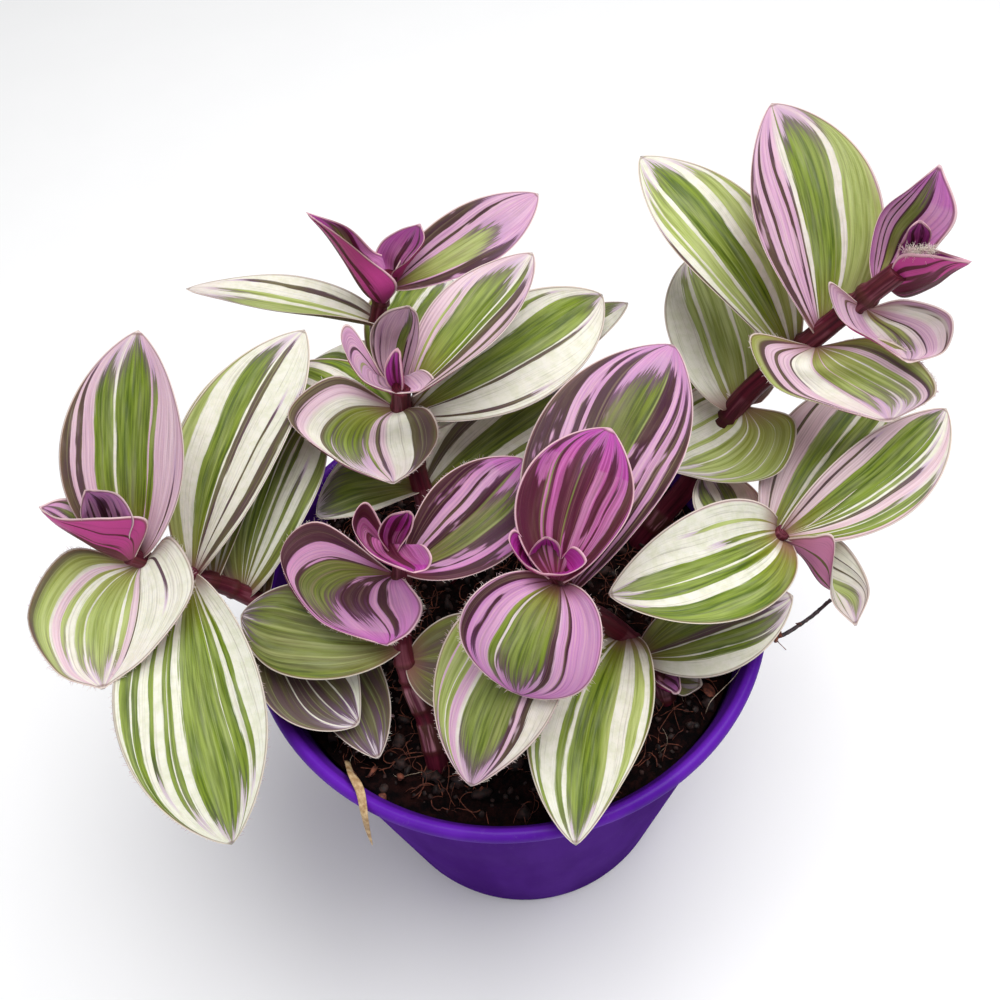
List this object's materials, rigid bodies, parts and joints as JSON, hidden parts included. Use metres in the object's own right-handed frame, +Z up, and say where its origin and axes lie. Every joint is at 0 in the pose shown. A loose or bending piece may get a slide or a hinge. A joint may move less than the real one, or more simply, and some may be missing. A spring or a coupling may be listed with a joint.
{
  "type": "potted house plant",
  "caption": "Striped tradescantia with spreading, layered oval leaves on short stems, in a small tapering plastic grower pot filled with dark peat.",
  "frame": {"origin": "middle of the pot's flat bottom", "axes": "+Z up, -Y towards the side that the picture was taken from, +X to that view's right"},
  "size_m": [0.1955, 0.1646, 0.1875],
  "materials": {
    "pot_plastic": "smooth violet plastic with a soft shine",
    "peat": "moist black-brown peat with fine red-brown fibres",
    "striped_leaf": "satin leaves striped cream, pink and green, magenta where young, on dusky red stems",
    "twig": "dull dark bark",
    "dry_leaf": "dull straw"
  },
  "bodies": {
    "root": {"pot": "pot_plastic", "soil": "peat", "leafy_stem_a": "striped_leaf", "leafy_stem_b": "striped_leaf", "leafy_stem_c": "striped_leaf", "leafy_stem_d": "striped_leaf", "leafy_stem_e": "striped_leaf", "leafy_stem_f": "striped_leaf", "leafy_stem_g": "striped_leaf", "twig": "twig", "dry_strip": "dry_leaf"}
  },
  "joints": []
}
